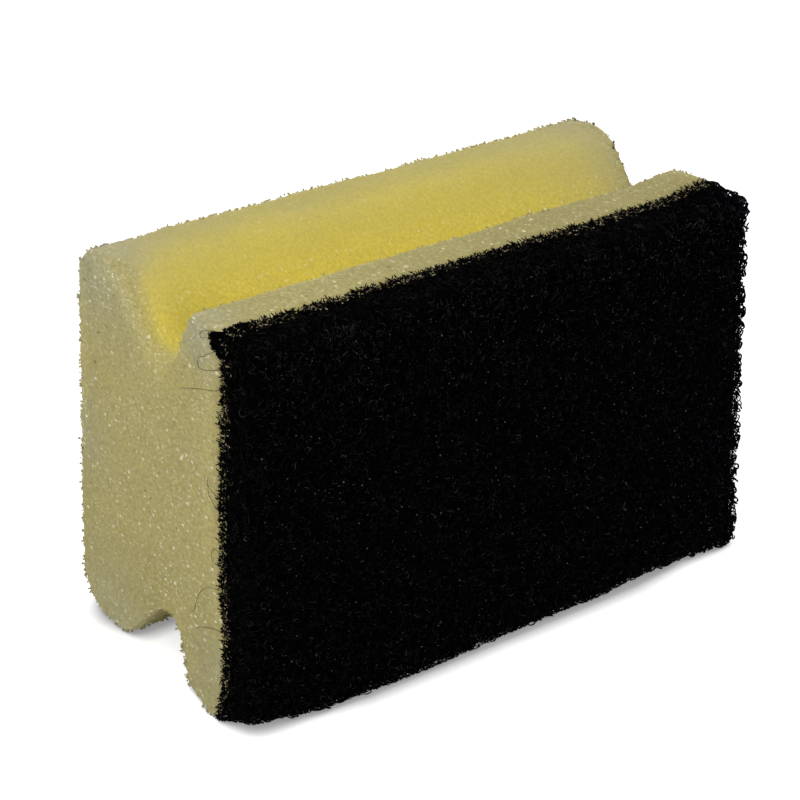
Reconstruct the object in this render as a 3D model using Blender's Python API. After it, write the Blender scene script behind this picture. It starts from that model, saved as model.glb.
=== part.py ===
"""Grip sponge for scrubbing.

A block of open-cell foam is contour-cut along its length: a full-height flange at the front, a
finger groove along the top and the underside, and a thick rear ridge that the hand holds. A
fibre scouring pad is bonded to the flange by a thin film of adhesive.

Metres, +Z up. The sponge stands on its long side, its length lies along X and its pad faces -Y.
The origin is the middle of the footprint, on the surface that it stands on.
"""

import math

import bmesh
import bpy

# Overall sizes
LENGTH = 0.105
HEIGHT = 0.070

# Foam section, from the pad side to the back; the depths add up to the foam's own depth
FLANGE_THICKNESS = 0.0090
GROOVE_MOUTH = 0.0205
RIDGE_CROWN = 0.0132

# Finger groove, the same on top and underside
GROOVE_DEPTH = 0.0110
GROOVE_FLOOR = 0.0045
FLANGE_WALL_LEAN = 0.0052

# Fillets of the section
FLANGE_FRONT_FILLET = 0.0012
FLANGE_REAR_FILLET = 0.0032
GROOVE_FRONT_FILLET = 0.0030
GROOVE_REAR_FILLET = 0.0050
RIDGE_FRONT_FILLET = 0.0080
RIDGE_BACK_FILLET = 0.0080

# Softened edge of each cut end face
END_EDGE_FILLET = 0.0005

# Scouring pad
PAD_THICKNESS = 0.0084
PAD_CORNER_RADIUS = 0.0020
PAD_EDGE_BOW = 0.0008
PAD_FRONT_RIM = 0.0022
PAD_BACK_RIM = 0.0006

# Bond between pad and flange
FILM_THICKNESS = 0.0003
FILM_INSET = 0.0030
CONTACT_GAP = 0.0003

# Linear colours and roughness of the finishes
FOAM_COLOUR = (0.50, 0.44, 0.20)
FOAM_ROUGHNESS = 0.95
PAD_COLOUR = (0.006, 0.005, 0.007)
PAD_ROUGHNESS = 0.90
FILM_COLOUR = (0.75, 0.68, 0.42)
FILM_ROUGHNESS = 0.40

# How finely the round forms are divided, and the angle past which an edge shows as sharp
SHARP_ANGLE = math.radians(35.0)
FILLET_STEPS = 8
RIM_STEPS = 4
EDGE_STEPS = 16
CORNER_STEPS = 6

FOAM_DEPTH = FLANGE_THICKNESS + GROOVE_MOUTH + RIDGE_CROWN
BOND_DEPTH = FILM_THICKNESS + 2.0 * CONTACT_GAP
TOTAL_DEPTH = PAD_THICKNESS + BOND_DEPTH + FOAM_DEPTH

PAD_FRONT_Y = -TOTAL_DEPTH / 2.0
PAD_BACK_Y = PAD_FRONT_Y + PAD_THICKNESS
FILM_FRONT_Y = PAD_BACK_Y + CONTACT_GAP
FOAM_FRONT_Y = PAD_BACK_Y + BOND_DEPTH


def clear_scene():
    """Take away whatever the open file holds."""
    for item in list(bpy.data.objects):
        bpy.data.objects.remove(item, do_unlink=True)


def make_material(name, colour, roughness):
    """A plain non-metallic finish with the part's own colour."""
    material = bpy.data.materials.new(name)
    material.use_nodes = True
    shader = material.node_tree.nodes["Principled BSDF"]
    shader.inputs["Base Color"].default_value = (*colour, 1.0)
    shader.inputs["Roughness"].default_value = roughness
    shader.inputs["Metallic"].default_value = 0.0
    return material


def make_object(name, mesh_builder, material):
    """Wrap a finished bmesh as one smooth-shaded object."""
    bmesh.ops.recalc_face_normals(mesh_builder, faces=mesh_builder.faces)
    mesh = bpy.data.meshes.new(name)
    mesh_builder.to_mesh(mesh)
    mesh_builder.free()
    mesh.materials.append(material)
    mesh.shade_smooth()
    mesh.set_sharp_from_angle(angle=SHARP_ANGLE)
    result = bpy.data.objects.new(name, mesh)
    bpy.context.scene.collection.objects.link(result)
    return result


def fillet_points(before, corner, after, radius, steps):
    """Points of the arc that rounds one corner of an outline.

    The arc touches both legs. Where a leg is short, the arc takes at most half of it.
    """
    leg_in = (before[0] - corner[0], before[1] - corner[1])
    leg_out = (after[0] - corner[0], after[1] - corner[1])
    length_in = math.hypot(*leg_in)
    length_out = math.hypot(*leg_out)
    unit_in = (leg_in[0] / length_in, leg_in[1] / length_in)
    unit_out = (leg_out[0] / length_out, leg_out[1] / length_out)
    half_angle = math.acos(unit_in[0] * unit_out[0] + unit_in[1] * unit_out[1]) / 2.0
    reach = min(radius / math.tan(half_angle), length_in / 2.0, length_out / 2.0)
    radius = reach * math.tan(half_angle)
    bisector = (unit_in[0] + unit_out[0], unit_in[1] + unit_out[1])
    scale = radius / math.sin(half_angle) / math.hypot(*bisector)
    centre = (corner[0] + bisector[0] * scale, corner[1] + bisector[1] * scale)
    start = (corner[0] + unit_in[0] * reach, corner[1] + unit_in[1] * reach)
    first = math.atan2(start[1] - centre[1], start[0] - centre[0])
    turn = math.pi - 2.0 * half_angle
    if leg_in[0] * leg_out[1] - leg_in[1] * leg_out[0] > 0.0:
        turn = -turn
    return [
        (centre[0] + radius * math.cos(first + turn * step / steps),
         centre[1] + radius * math.sin(first + turn * step / steps))
        for step in range(steps + 1)
    ]


def foam_section():
    """Closed (y, z) outline of the foam, from the top of the flange round to its foot."""
    top = HEIGHT
    floor = HEIGHT - GROOVE_DEPTH
    flange_rear = FOAM_FRONT_Y + FLANGE_THICKNESS
    floor_front = flange_rear + FLANGE_WALL_LEAN
    ridge_front = flange_rear + GROOVE_MOUTH
    back = FOAM_FRONT_Y + FOAM_DEPTH
    upper = [
        (FOAM_FRONT_Y, top, FLANGE_FRONT_FILLET),
        (flange_rear, top, FLANGE_REAR_FILLET),
        (floor_front, floor, GROOVE_FRONT_FILLET),
        (floor_front + GROOVE_FLOOR, floor, GROOVE_REAR_FILLET),
        (ridge_front, top, RIDGE_FRONT_FILLET),
        (back, top, RIDGE_BACK_FILLET),
    ]
    lower = [(y, HEIGHT - z, radius) for y, z, radius in reversed(upper)]
    corners = upper + lower
    outline = []
    for index, (y, z, radius) in enumerate(corners):
        before = corners[index - 1]
        after = corners[(index + 1) % len(corners)]
        outline += fillet_points(before[:2], (y, z), after[:2], radius, FILLET_STEPS)
    return outline


def inset_outline(outline, distance):
    """Move each point of a clockwise closed outline inwards along its own normal."""
    moved = []
    count = len(outline)
    for index, (across, up) in enumerate(outline):
        before = outline[index - 1]
        after = outline[(index + 1) % count]
        run = (after[0] - before[0], after[1] - before[1])
        size = math.hypot(*run)
        moved.append((across + run[1] / size * distance, up - run[0] / size * distance))
    return moved


def loft(rings, place):
    """Skin a row of equal closed outlines and cap both ends."""
    builder = bmesh.new()
    rows = []
    for position, ring in rings:
        rows.append([builder.verts.new(place(position, point)) for point in ring])
    for row, following in zip(rows[:-1], rows[1:]):
        count = len(row)
        for index in range(count):
            after = (index + 1) % count
            builder.faces.new((row[index], row[after], following[after], following[index]))
    builder.faces.new(rows[0])
    builder.faces.new(rows[-1])
    return builder


def quarter_round(radius):
    """Steps of a quarter-round edge, as (inset, back-off) from the flat face to the side."""
    steps = []
    for step in range(RIM_STEPS + 1):
        angle = math.pi / 2.0 * step / RIM_STEPS
        steps.append((radius * (1.0 - math.sin(angle)), radius * (1.0 - math.cos(angle))))
    return steps


def build_foam_body():
    """The contour-cut block, with softened cut edges at both ends."""
    section = foam_section()
    half = LENGTH / 2.0
    edge = min(END_EDGE_FILLET, FLANGE_FRONT_FILLET / 2.0)
    end = [(half - back_off, inset_outline(section, inset))
           for inset, back_off in quarter_round(edge)]
    rings = [(-x, ring) for x, ring in end] + list(reversed(end))
    builder = loft(rings, lambda x, point: (x, point[0], point[1]))
    material = make_material("pale_yellow_foam", FOAM_COLOUR, FOAM_ROUGHNESS)
    return make_object("foam_body", builder, material)


def pad_outline(inset):
    """Closed (x, z) outline of the pad; its long edges bow out between rounded corners."""
    half = LENGTH / 2.0 - inset
    low = inset
    high = HEIGHT - inset
    radius = max(PAD_CORNER_RADIUS - inset, PAD_CORNER_RADIUS / 4.0)
    straight = half - radius
    outline = []

    def bow(x):
        return PAD_EDGE_BOW * (x / half) ** 2

    def corner(centre_x, centre_z, first):
        for step in range(1, CORNER_STEPS):
            angle = first + math.pi / 2.0 * step / CORNER_STEPS
            outline.append((centre_x + radius * math.cos(angle),
                            centre_z + radius * math.sin(angle)))

    end_bow = bow(straight)
    for step in range(EDGE_STEPS + 1):
        x = -straight + 2.0 * straight * step / EDGE_STEPS
        outline.append((x, low + bow(x)))
    corner(straight, low + end_bow + radius, -math.pi / 2.0)
    outline.append((half, low + end_bow + radius))
    outline.append((half, high - end_bow - radius))
    corner(straight, high - end_bow - radius, 0.0)
    for step in range(EDGE_STEPS + 1):
        x = straight - 2.0 * straight * step / EDGE_STEPS
        outline.append((x, high - bow(x)))
    corner(-straight, high - end_bow - radius, math.pi / 2.0)
    outline.append((-half, high - end_bow - radius))
    outline.append((-half, low + end_bow + radius))
    corner(-straight, low + end_bow + radius, math.pi)
    return outline


def rim_rings(edge_y, inward, radius):
    """Rings of a rounded pad rim, from the flat face at edge_y out to the pad's side."""
    return [(edge_y + inward * back_off, pad_outline(inset))
            for inset, back_off in quarter_round(radius)]


def build_scouring_pad():
    """The fibre pad: a flat slab with a rounded rim, softer at the front."""
    front = rim_rings(PAD_FRONT_Y, 1.0, PAD_FRONT_RIM)
    back = rim_rings(PAD_BACK_Y, -1.0, PAD_BACK_RIM)
    builder = loft(front + list(reversed(back)), lambda y, point: (point[0], y, point[1]))
    material = make_material("black_scouring_fibre", PAD_COLOUR, PAD_ROUGHNESS)
    return make_object("scouring_pad", builder, material)


def build_adhesive_layer():
    """The bonding film, held in from the pad's edges so that it never shows."""
    outline = pad_outline(FILM_INSET)
    rings = [(FILM_FRONT_Y, outline), (FILM_FRONT_Y + FILM_THICKNESS, outline)]
    builder = loft(rings, lambda y, point: (point[0], y, point[1]))
    material = make_material("dried_adhesive", FILM_COLOUR, FILM_ROUGHNESS)
    return make_object("adhesive_layer", builder, material)


def main():
    clear_scene()
    build_foam_body()
    build_adhesive_layer()
    build_scouring_pad()


main()
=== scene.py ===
"""Looks of the grip sponge: open-cell foam, a felt of scouring fibres and the bond between them.

Metres, +Z up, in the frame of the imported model. The foam, the pad and the bond are soft, so each of
them is modelled again here as a fine mesh that stands for its plain solid.
"""

import math

import bmesh
import bpy
import numpy as np
from mathutils import Matrix, Vector
from mathutils.geometry import delaunay_2d_cdt


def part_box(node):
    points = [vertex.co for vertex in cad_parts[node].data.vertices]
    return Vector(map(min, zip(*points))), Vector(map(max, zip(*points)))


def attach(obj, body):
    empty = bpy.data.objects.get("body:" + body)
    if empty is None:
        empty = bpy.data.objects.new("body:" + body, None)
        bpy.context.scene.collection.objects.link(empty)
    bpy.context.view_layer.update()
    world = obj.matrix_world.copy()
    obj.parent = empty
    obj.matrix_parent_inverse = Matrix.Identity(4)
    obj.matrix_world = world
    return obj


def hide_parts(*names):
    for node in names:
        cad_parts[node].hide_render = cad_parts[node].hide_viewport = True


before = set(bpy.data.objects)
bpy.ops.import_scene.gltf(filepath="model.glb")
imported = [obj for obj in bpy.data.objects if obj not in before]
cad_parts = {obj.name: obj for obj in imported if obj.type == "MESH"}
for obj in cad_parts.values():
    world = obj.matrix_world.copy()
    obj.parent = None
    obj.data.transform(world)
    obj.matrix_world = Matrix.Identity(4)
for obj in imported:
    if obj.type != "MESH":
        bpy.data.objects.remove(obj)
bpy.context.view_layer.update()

MM = 0.001

# Corners of the three solids
FOAM_LOW, FOAM_HIGH = (np.array(corner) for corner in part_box("foam_body"))
PAD_LOW, PAD_HIGH = (np.array(corner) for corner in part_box("scouring_pad"))
FILM_LOW, FILM_HIGH = (np.array(corner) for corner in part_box("adhesive_layer"))
LENGTH = FOAM_HIGH[0] - FOAM_LOW[0]
HEIGHT = FOAM_HIGH[2] - FOAM_LOW[2]
DEPTH = FOAM_HIGH[1] - PAD_LOW[1]

# Foam section, as in the solid
FLANGE_THICKNESS = 9.0 * MM
GROOVE_MOUTH = 20.5 * MM
GROOVE_DEPTH = 11.0 * MM
GROOVE_FLOOR = 4.5 * MM
FLANGE_WALL_LEAN = 5.2 * MM
FLANGE_FRONT_FILLET = 1.2 * MM
FLANGE_REAR_FILLET = 3.2 * MM
GROOVE_FRONT_FILLET = 3.0 * MM
GROOVE_REAR_FILLET = 5.0 * MM
RIDGE_FILLET = 8.0 * MM
FILLET_STEPS = 24

# The flange's rear, and where the ridge turns flat behind the groove
REAR = FOAM_LOW[1] + FLANGE_THICKNESS
CROWN = FOAM_HIGH[1] - 11.0 * MM

# Pad outline, with its corners and rim cut a little sharper than in the solid
PAD_CORNER_RADIUS = 1.2 * MM
PAD_EDGE_BOW = 0.2 * MM
PAD_FRONT_RIM = 1.4 * MM
PAD_RIM_STEPS = 4
PAD_GRID = 0.7 * MM
PAD_MIDDLE = np.array([0.0, HEIGHT / 2.0])
PAD_HALF = np.array([LENGTH / 2.0, HEIGHT / 2.0])

# How the soft block leans out of square at its right end
RIGHT_END_REACH = 0.4 * MM
RIGHT_END_LEAN_BACK = 0.9 * MM
RIGHT_END_LEAN_UP = -2.3 * MM

# Bulges: reach, middle and width across the block, then the heights where each begins and is full
FOOT_SPREAD = (1.8 * MM, -15.5 * MM, 5.5 * MM, 6.0 * MM, 0.0)
HEEL_SPREAD = (1.6 * MM, -7.0 * MM, 5.0 * MM, 7.0 * MM, 0.0)
RIDGE_FLARE = (1.3 * MM, 13.0 * MM, 8.0 * MM, 45.0 * MM, 57.0 * MM)
RIDGE_FLARE_START = 0.7

# How far the left end leans along X, as (height, shift) in millimetres, at the pad and at the ridge
LEFT_LEAN_FRONT = ((0.0, -0.5), (12.0, -0.3), (25.0, -0.6), (35.0, -0.65), (60.0, 0.0), (70.0, 0.3))
LEFT_LEAN_BACK = (
    (0.0, -0.4), (4.0, -0.6), (9.0, -1.3), (20.0, -1.1), (35.0, -0.65), (60.0, 0.0), (70.0, 0.3),
)
LEFT_LEAN_BLEND = (-2.0 * MM, 8.0 * MM)

# How far the pad's lower front edge stands off the floor, as (place along the pad, lift) in millimetres
PAD_FOOT_LIFT = (
    (-52.5, 3.2), (-47.0, 2.4), (-43.0, 1.3), (-38.0, 0.6), (-32.0, 0.6), (-24.0, 0.2), (-18.0, 0.0),
    (-12.0, 0.2), (-6.0, 0.6), (8.0, 0.8), (20.0, 0.6), (30.0, 1.5), (38.0, 1.4), (46.0, 1.1), (52.5, 0.9),
)
PAD_FOOT_REACH = 9.0 * MM

# How far the pad's upper edge stands up near its right corner, in the same form, how far back that
# reaches, and the share of it at the pad's front
PAD_TIP_LIFT = ((38.0, 0.0), (42.0, 0.4), (46.0, 0.9), (49.3, 1.4), (51.0, 0.9), (52.5, -0.2))
PAD_TIP_BACK = -4.0 * MM
PAD_TIP_FRONT = 0.3

# Foam skin: its grid, the roundings of its cut ends along X and across, and how its sides undulate
FOAM_GRID = 0.60 * MM
LEFT_EDGE = (2.0 * MM, 0.9 * MM)
RIGHT_EDGE = (0.6 * MM, 0.4 * MM)
END_EDGE_STEPS = 5
FOAM_SINK = 0.15 * MM
CELL_RELIEF = 0.04 * MM
FOAM_SWELLS = ((14.0 * MM, 5, 0.12 * MM), (3.0 * MM, 6, 0.05 * MM))
EDGE_BLEND = 3.0 * MM
LIP_REACH = 0.45 * MM
LIP_FADE = (2.8 * MM, 1.8 * MM)
FOAM_ROUGH = 0.03

# Torn cell ends stand out most where the surface turns away to the right, the back and the underside.
# Round the upper groove only a share of them does, and past a place near the right end they do so more
TORN_WAY = (0.59, 0.66, -0.46)
TORN_START, TORN_FULL = -0.32, 0.02
TORN_RELIEF = (0.20 * MM, 0.15 * MM)
TORN_WAVE = (1.3 * MM, 7, 16)
TORN_SINK = 0.30 * MM
TORN_IN_GROOVE = 0.3
RIGHT_END, RIGHT_END_TORN = 50.0 * MM, 1.5

# Lumps at the ends of torn cells, in two layers
TORN_LAYERS = 2
TORN_CELLS = 23000
TORN_CELL_SIDES = 4
TORN_CELL_WIDTH = (0.13 * MM, 0.30 * MM)
TORN_CELL_RISE = (0.15 * MM, 0.55 * MM)
TORN_CELL_ROOT = 0.10 * MM
TORN_CELL_STRAY = 0.25 * MM
# Their tone is raised at random, which also paints light over the shade on the lumps' sides
TORN_CELL_TONE = (1.0, 1.20)
TORN_CELL_TURN = 0.25
TORN_CELL_UNEVEN = (0.65, 1.35)
TORN_CELL_BEND = 0.08
FEWEST_TORN = 0.004

# Light that comes through the thin torn cells makes them look as if they faced a little this way
LIT_WAY = (-0.5, -0.5, 0.8)
LIT_MIDDLE, LIT_WIDTH = 0.08, 0.30

# Painted glow in the grooves, across the section, as (place behind the flange's rear in millimetres, glow)
GLOW_ACROSS = (
    (0.0, 0.00), (2.0, 0.45), (5.0, 0.86), (13.0, 0.92), (17.0, 0.71), (20.5, 0.52), (24.0, 0.31),
    (27.0, 0.22), (31.0, 0.12), (34.0, 0.06),
)

# Where the glow begins inside the left end, as (depth in the groove, distance from the end) in millimetres
GLOW_START = ((0.0, 6.0), (2.5, 2.6), (5.0, 1.6), (9.0, 1.2), (11.0, 2.2))
GLOW_FADE = 2.8 * MM
GLOW_RIGHT = (-2.0 * MM, 12.0 * MM)
GLOW_BELOW = 0.25

# How far from the groove its glow dies out on the cut ends, and a fainter halo round it
GLOW_REACH = 2.2 * MM
HALO_REACH = 4.5 * MM
HALO_GLOW_PAINT = 0.15

# Greyer stretches of the foam: middle and reach in millimetres, and strength
GREY_SPOTS = (
    ((-52.5, -10.5, 67.0), 6.0, 0.95),
    ((-52.5, 22.0, 68.0), 11.0, 0.80),
    ((-52.5, 27.0, 35.0), 9.0, 0.60),
    ((-52.5, 16.0, 2.0), 12.0, 0.55),
    ((-52.5, -15.0, 6.0), 9.0, 0.55),
    ((52.5, 12.0, 69.0), 20.0, 0.40),
)

# Where the flange's side of a cut end meets the ridge's side
SIDES_MEET = -6.0 * MM

# Amounts that stretches of the foam add to a tone of 1. Each is scaled by its entries: a measure that is
# a share by itself, one with the width of a bump round 0, or one with the places where it counts for
# nothing and in full, in millimetres
TONES = (
    (-0.05, ("on_end",)),
    # Painted shade: the cut ends grow darker towards the bottom, where less light reaches
    (-0.08, ("on_end",), ("z", 45.5, 0.0)),
    (0.06, ("on_end",), ("y", -11.0, -15.0)),
    # Painted light at the foot of the cut ends, lifting the shade of their lower rounding
    (0.04, ("on_end",), ("z", 14.0, 4.0), ("on_flange_side",)),
    (0.05, ("on_end",), ("z", 12.0, 2.0), ("on_ridge_side",)),
    # Painted shade: the thin flange is darker, where less light comes back out of the foam, more so to the
    # right
    (-0.075, ("on_flange",)),
    (-0.10, ("on_flange",), ("x", -35.0, 10.0)),
    (-0.05, ("on_flange",), ("from_left", 6.0)),
    # Painted shade a little way in from the left end, deep in the grooves
    (-0.17, ("off_flange",), ("depth", 3.0, 8.0), ("from_left", 3.0, 8.0), ("from_left", 15.0)),
    (-0.02, ("off_end",), ("past_crown", -2.0, 4.0)),
    (0.035, ("off_end",), ("past_crown", 2.0, -4.0), ("off_flange",), ("upper_half",)),
    # Painted shade in the lower groove
    (-0.14, ("off_end",), ("under_groove",)),
)

# How coarse the foam looks, in the same form, of which the largest counts
COARSENESS = (
    (1.0, ("on_end",)),
    (0.85, ("on_flange",)),
    (0.45, ("off_flange",), ("depth", 3.0, 8.0)),
)

# Foam colours, linear
FOAM_PALE = (0.458, 0.398, 0.162)
# Painted glow: the deeper yellow where light comes back out of the foam in the grooves
FOAM_GLOW_PAINT = (0.700, 0.573, 0.082)
FOAM_GREY = (0.410, 0.385, 0.235)
# Painted glints of cut cell walls
FOAM_GLINT = (0.86, 0.83, 0.60)
FOAM_DARK = (0.10, 0.07, 0.02)

# How far light spreads inside the foam, for red, green and blue as shares of the depth
FOAM_GLOW_COLOURS = (1.0, 0.9, 0.6)
FOAM_GLOW_DEPTH = 1.2 * MM
FOAM_SCATTER = 0.8

# Patches that shift the colour along the mix towards the painted glow's colour, pores and grain: size, and
# how much each adds and takes away, less on moulded sides
PATCHES = (9.0 * MM, 0.06)
PORES = (0.55 * MM, 0.10)
GRAIN = (0.50 * MM, 0.13)
SMOOTH_SIDE_RELIEF = 0.45

# Painted glints of cut cell walls: spacing, radius, share of the places, and strength on moulded and cut
# faces
GLINTS = (
    (0.50 * MM, 0.20 * MM, 0.55, 0.12, 0.55),
    (0.95 * MM, 0.28 * MM, 0.50, 0.14, 0.90),
    (1.70 * MM, 0.36 * MM, 0.50, 0.18, 1.00),
)
GLINT_FADING = 2.0
DARK_SPECKS = (9.0 * MM, 0.20 * MM, 0.4)

# The cells are longer across the block, which is the way that the foam rose
CELL_STRETCH = (1.0, 0.65, 1.0)

# Pad colours, linear, and where the pad has a blue cast, as shares of the length and height
PAD_BLACK = (0.0006, 0.0005, 0.0005)
PAD_BLUE = (0.0006, 0.0006, 0.0060)
BLUE_AT_RIGHT = (0.40, 0.47)
BLUE_AT_FOOT = (0.02, 0.08)
FIBRE_PALE = (0.036, 0.033, 0.031)
SOAKED_FOAM = (0.28, 0.21, 0.10)

# Clouded materials: roughness, shine, size and detail of the noise, the stretch of it that the change
# takes up, and the two colours
CLOUDED = {
    "soaked_fibre": (0.80, 0.05, 0.45 * MM, 1.0, (0.50, 0.64), (0.004, 0.003, 0.003), (0.42, 0.36, 0.21)),
    # The resin grains' paler grey is partly a painted glint
    "resin_grit": (0.35, 0.30, 1.5 * MM, 0.0, (0.35, 0.75), (0.003, 0.003, 0.003), (0.055, 0.053, 0.050)),
    "dried_adhesive": (0.40, 0.40, 2.0 * MM, 4.0, (0.0, 1.0), (0.62, 0.54, 0.30), (0.82, 0.76, 0.52)),
}

# Stretches of the soft noise that patches take up
WIDE_SPAN = (0.3, 0.7)
NARROW_SPAN = (0.45, 0.65)

# Felt: how far it lies inside the loose fibres, more at its open right end, its relief, how near its back
# the foam's colour begins and is full, and how far from the right end it opens
FELT_INSET = 0.30 * MM
FELT_OPENING = 0.45 * MM
FELT_RELIEF = 0.20 * MM
FELT_WAVE = (5.0 * MM, 8, 0.12 * MM)
FELT_SOAK = (1.3 * MM, 0.1 * MM)
OPEN_FROM, OPEN_FULL = 8.5 * MM, 1.5 * MM

# Fibres: shares of the nearly black and of the pale ones, and the shades of black, grey and pale ones
DARK_SHARE, PALE_SHARE = 0.60, 0.020
DARK_SHADES, GREY_SHADES, PALE_SHADES = (0.0, 0.03), (0.03, 0.26), (0.3, 1.0)

# Loose fibres: pieces, fibres in each, steps, length of a step, height over the pad, and radius in
# millimetres. Those on the face are paler near the top with painted light, and those at the open end are sunk
CURL_BEND = 0.85
FACE_FIBRES = (4, 6200, 6, 0.25 * MM, (-0.12 * MM, 0.30 * MM), (0.065, 0.115))
SIDE_FIBRES = (2, 4400, 8, 0.28 * MM, (-0.40 * MM, 0.30 * MM), (0.06, 0.12))
FACE_EDGE = 0.3 * MM
# Painted light: how much paler the face fibres get near the top, where the rim catches light, and its reach
TOP_LIGHT_PAINT = (1.5, 5.0 * MM)
SIDE_SUNK = 0.35 * MM

# Loops at the rim: number, steps, length of a step, height and radius in millimetres
EDGE_LOOPS = (1700, 13, 0.22 * MM, (0.30, 0.80), (0.10, 0.15))

# How often they stand anywhere, more at the right end and more at the foot; how much taller and thicker
# they are at the right end; and how much they bend and wander at each step
LOOPS_ANYWHERE, LOOPS_AT_RIGHT, LOOPS_AT_FOOT = 0.22, 1.4, 0.3
LOOPS_TALLER, LOOPS_THICKER = 0.7, 0.35
LOOP_BEND, LOOP_WANDER = (0.20, 0.55), 0.25

# Fringe at the bond: number, start inside the pad, and radius in millimetres
FRINGE = (5400, 1.5 * MM, (0.08, 0.14))
SOAKED_FRINGE = (3000, 2.2 * MM, (0.10, 0.15))
FRINGE_STEPS, FRINGE_STEP, FRINGE_TUFTS = 6, 0.22 * MM, 800
FRINGE_REACH, FRINGE_SPREAD, FRINGE_HEIGHT = 1.6 * MM, 1.35, 0.65 * MM
FRINGE_BEND, FRINGE_TUFT_WIDTH = (0.45, 0.20), 0.55 * MM

# The tuft at the upper left corner: fibres, steps, length of a step, and radius in millimetres. Then how
# it bends, its reach in millimetres at shares of its fall, how its top slopes, and its share on the top
CORNER_TUFT = (800, 6, 0.20 * MM, (0.08, 0.13))
TUFT_BEND = (0.6, 0.2)
TUFT_OUTLINE = ((0.0, 0.55, 1.0), (3.3, 3.1, 0.6))
TUFT_FALL, TUFT_SLOPE, TUFT_ON_TOP = 4.0 * MM, 0.38, 0.25

# Stray fibres on the foam's left end: radius, steps, and middle lines as (y, z) in millimetres
STRAY_RADIUS = 0.042 * MM
STRAY_STEPS = 14
STRAYS = (
    ((-16.6, 69.6), (-15.2, 69.6), (-13.2, 68.8), (-12.1, 68.2), (-11.7, 67.4), (-12.0, 67.0), (-12.9, 67.4)),
    ((-17.0, 66.8), (-15.6, 66.1), (-13.8, 65.0), (-12.7, 64.1), (-11.1, 63.6)),
    ((-17.0, 63.6), (-15.1, 62.7), (-12.7, 61.9), (-11.6, 61.8), (-11.1, 62.4), (-11.0, 63.4)),
    ((-17.2, 60.2), (-15.4, 59.4), (-12.6, 58.6), (-9.7, 57.5), (-6.0, 56.0)),
    ((-17.6, 41.2), (-15.6, 41.8), (-14.2, 42.6), (-13.9, 43.8)),
    ((-17.6, 39.0), (-15.9, 40.0), (-14.5, 41.1), (-13.8, 42.9)),
    ((-17.6, 31.5), (-16.0, 32.0), (-15.2, 30.6), (-15.6, 29.2), (-17.2, 29.0)),
    ((-17.0, 24.5), (-14.5, 23.9), (-13.0, 23.1), (-11.2, 21.1), (-10.3, 19.2), (-9.0, 16.4)),
    ((-17.0, 16.6), (-14.9, 16.3), (-12.8, 15.5), (-10.7, 14.4), (-9.3, 13.2)),
)

# Resin grains, whose paler grey is partly a painted glint: number, and least and added radius
GRAINS, GRAIN_RADIUS, GRAIN_GROWTH = 1300, 0.07 * MM, 0.10 * MM

# Bonding film: how ragged its edge is, its grid and its relief
FILM_RAGGED = 0.8 * MM
FILM_GRID = 1.6 * MM
FILM_RELIEF = 0.05 * MM

# Camera at the photograph's viewpoint
CAMERA_PLACE = (-0.235721, -0.296591, 0.231718)
CAMERA_YAW = 0.662
CAMERA_PITCH = 0.478
CAMERA_ROLL = 0.023
CAMERA_LENS = 110.54
SENSOR_WIDTH = 36.0
CLIP_RANGE = (0.01, 20.0)

# Light
WORLD_STRENGTH = 0.62
LAMP_POWER = 3.8
LAMP_PLACE = (-0.48, -0.39, 0.65)
LAMP_SIZE = (0.9, 0.7)

# Floor: its size and white, how much it glows for the camera, and the reach of the contact shadow
FLOOR_HALF = 3.0
FLOOR_WHITE = (0.80, 0.80, 0.80)
FLOOR_DARK = (0.05, 0.05, 0.05)
FLOOR_LIFT = 0.82
CONTACT_REACH = 4.8 * MM
CONTACT_SAMPLES = 24

# The contact shadow is lighter everywhere by the first amount, and by up to the second near the two ends
# of the block, save behind the ridge. The last line turns two values of openness into two tones
CONTACT_LIFT, CONTACT_END_LIFT = 0.10, 0.28
CONTACT_END = (30.0 * MM, 42.0 * MM)
CONTACT_FRONT = (11.0 * MM, 19.0 * MM)
CONTACT_TONES = (0.545, 1.0, 0.315, 0.84)


def unit(vectors):
    """Vectors scaled to length one along their last axis."""
    return vectors / np.maximum(np.linalg.norm(vectors, axis=-1, keepdims=True), 1e-12)


def held(value):
    """A value held between 0 and 1."""
    return np.clip(value, 0.0, 1.0)


def smooth_step(start, end, value):
    """0 before start, 1 past end, and a smooth rise between; start may be the higher of the two."""
    share = held((value - start) / (end - start))
    return share * share * (3.0 - 2.0 * share)


def bump(value, width):
    """1 where the value is 0, with a smooth fall on both sides."""
    return np.exp(-(value / width) ** 2)


def waves(points, length, seed, count=10):
    """Smooth random undulation from about -1 to 1 with features of the given length."""
    rng = np.random.default_rng(seed)
    total = np.zeros(len(points))
    for _ in range(count):
        direction = unit(rng.normal(size=3)) * 2.0 * math.pi / (length * rng.uniform(0.7, 1.8))
        total += np.sin(points @ direction + rng.uniform(0.0, 2.0 * math.pi))
    return total / math.sqrt(count)


def knot_value(knots, place):
    """Value at a place between (place, value) knots that are given in millimetres."""
    table = np.array(knots) * MM
    return np.interp(place, table[:, 0], table[:, 1])


def bulge(y, z, reach, middle, width, begins, full):
    """How far one of the bulges stands out at places across and up the block."""
    return reach * bump(y - middle, width) * held((z - begins) / (full - begins))


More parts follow.
